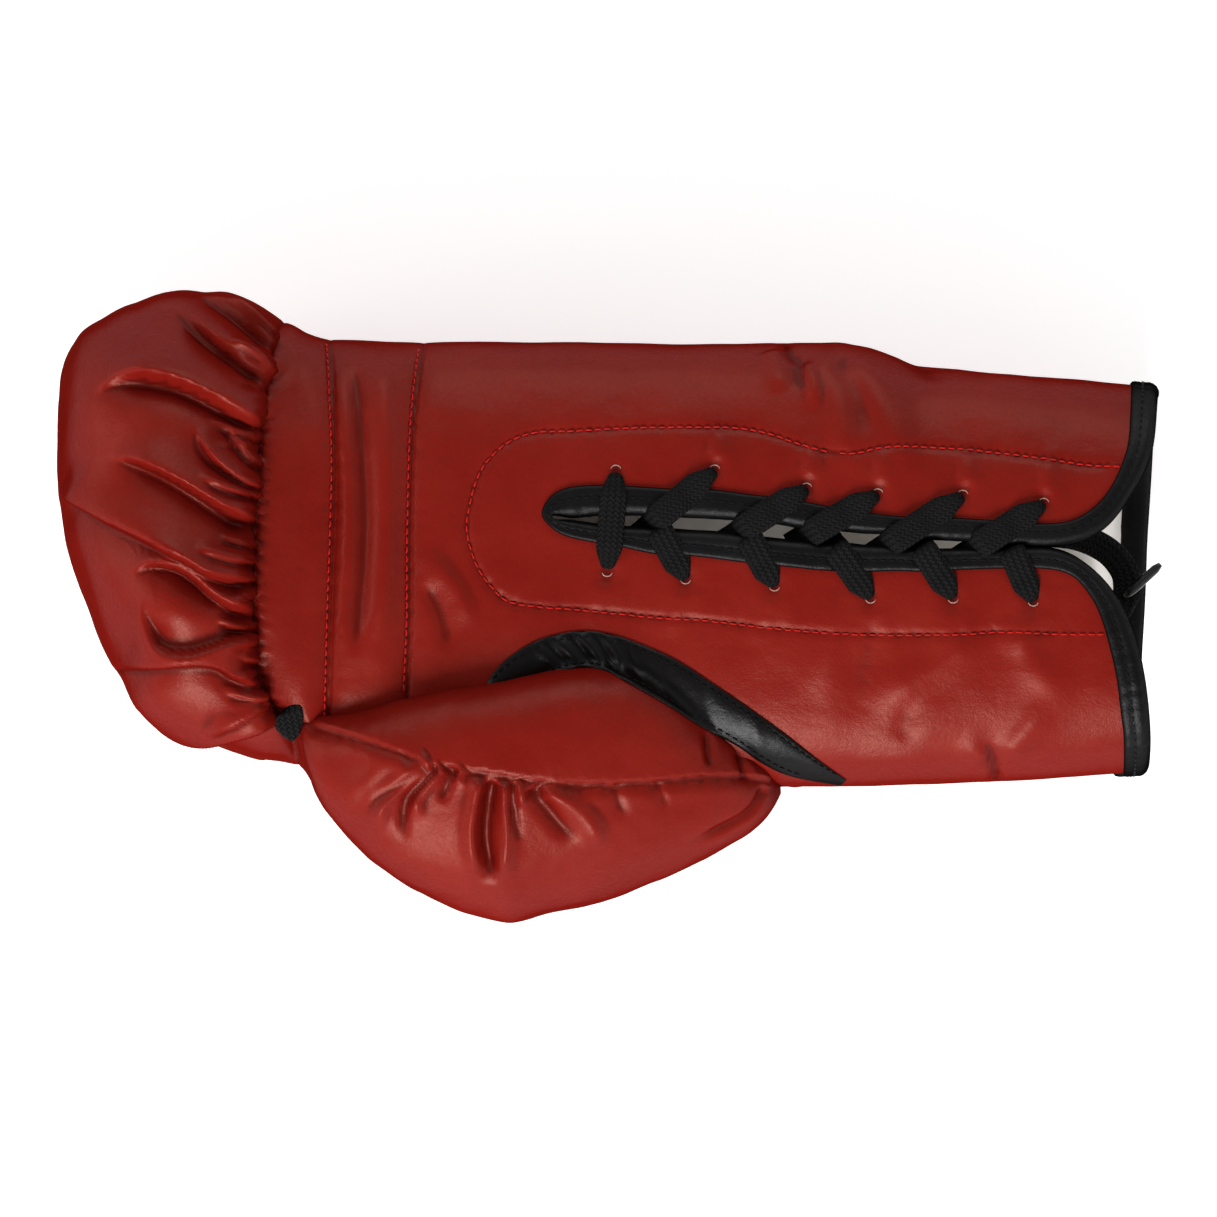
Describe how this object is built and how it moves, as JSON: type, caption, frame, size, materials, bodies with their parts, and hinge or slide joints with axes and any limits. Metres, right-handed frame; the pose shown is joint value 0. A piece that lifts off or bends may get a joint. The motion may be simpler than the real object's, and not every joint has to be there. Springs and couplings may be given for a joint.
{
  "type": "boxing glove",
  "caption": "Lace-up padded boxing glove with an attached thumb, laced palm-side cuff, bound slot edges and a stitched palm roll.",
  "frame": {"origin": "middle of the footprint, on the plane the flattened back of the glove rests on", "axes": "+X from the knuckles to the cuff mouth (the longest extent), +Y to the little-finger side, -Y to the thumb side, +Z out of the palm"},
  "size_m": [0.331, 0.1862, 0.1158],
  "materials": {
    "red_leather": "satin, fine grain",
    "black_binding": "satin",
    "black_welt": "gloss",
    "facing_board": "matte",
    "black_lace": "braided, matte",
    "black_webbing": "woven, matte",
    "red_thread": "twisted thread",
    "lining": "smooth woven lining",
    "foam": "closed-cell foam, matte",
    "bar_core": "dense foam roll",
    "aglet_plastic": "gloss"
  },
  "bodies": {
    "hand": {"back_shell": "red_leather", "palm_roll_rear": "red_leather", "palm_panel": "red_leather", "lace_facing_palm": "facing_board", "back_pad": "foam", "ulnar_edge_pad": "foam", "radial_edge_pad": "foam", "palm_roll_filler": "foam", "palm_pad": "foam", "hand_lining": "lining", "slot_binding_palm": "black_binding", "thumb_welt": "black_welt", "facing_thread_palm": "red_thread", "roll_thread_rear": "red_thread", "lace_palm_crossings": "black_lace"},
    "fingers": {"palm_roll_front": "red_leather", "finger_shell": "red_leather", "knuckle_pad": "foam", "finger_side_pad": "foam", "finger_top_pad": "foam", "finger_lining": "lining", "grip_bar_core": "bar_core", "grip_bar_sleeve": "lining", "roll_thread_front": "red_thread", "thumb_tab": "black_webbing"},
    "thumb": {"thumb_inner_panel": "red_leather", "thumb_outer_panel": "red_leather", "thumb_pad": "foam", "thumb_lining": "lining"},
    "cuff": {"cuff_back_shell": "red_leather", "cuff_back_pad": "foam", "cuff_lining": "lining", "cuff_binding": "black_binding"},
    "ulnar_flap": {"ulnar_flap_panel": "red_leather", "ulnar_flap_facing": "facing_board", "ulnar_flap_pad": "foam", "ulnar_flap_lining": "lining", "ulnar_flap_binding": "black_binding", "ulnar_flap_thread": "red_thread", "lace_ulnar_crossings": "black_lace"},
    "radial_flap": {"radial_flap_panel": "red_leather", "radial_flap_facing": "facing_board", "radial_flap_pad": "foam", "radial_flap_lining": "lining", "radial_flap_binding": "black_binding", "radial_flap_thread": "red_thread", "lace_radial_crossings": "black_lace"},
    "lace_end": {"lace_end": "black_lace", "lace_aglet": "aglet_plastic"}
  },
  "joints": [
    {"name": "finger_flex", "type": "hinge", "parent": "hand", "child": "fingers", "pos_m": [-0.0825, 0.01525, 0.062], "axis": [0, 1, 0], "range_deg": [-10, 5], "stiffness_Nm_per_rad": 4},
    {"name": "thumb_swing", "type": "hinge", "parent": "hand", "child": "thumb", "pos_m": [0.0395, -0.04975, 0.077], "axis": [0, 0, 1], "range_deg": [0, 3], "stiffness_Nm_per_rad": 2},
    {"name": "wrist_flex", "type": "hinge", "parent": "hand", "child": "cuff", "pos_m": [0.0655, 0.01325, 0.062], "axis": [0, 1, 0], "range_deg": [-10, 10], "stiffness_Nm_per_rad": 3},
    {"name": "ulnar_flap_open", "type": "hinge", "parent": "cuff", "child": "ulnar_flap", "pos_m": [0.0655, 0.07975, 0.062], "axis": [-0.9919, 0.1266, 0], "range_deg": [0, 15], "stiffness_Nm_per_rad": 0.3},
    {"name": "radial_flap_open", "type": "hinge", "parent": "cuff", "child": "radial_flap", "pos_m": [0.0655, -0.05395, 0.062], "axis": [0.9992, 0.0393, 0], "range_deg": [0, 15], "stiffness_Nm_per_rad": 0.3},
    {"name": "lace_end_swing", "type": "hinge", "parent": "cuff", "child": "lace_end", "pos_m": [0.1195, 0.01725, 0.079], "axis": [0, 0, 1], "range_deg": [-6, 6], "stiffness_Nm_per_rad": 0.02}
  ],
  "couplings": [
    {"joint": "radial_flap_open", "follows": "ulnar_flap_open", "ratio": 1}
  ]
}
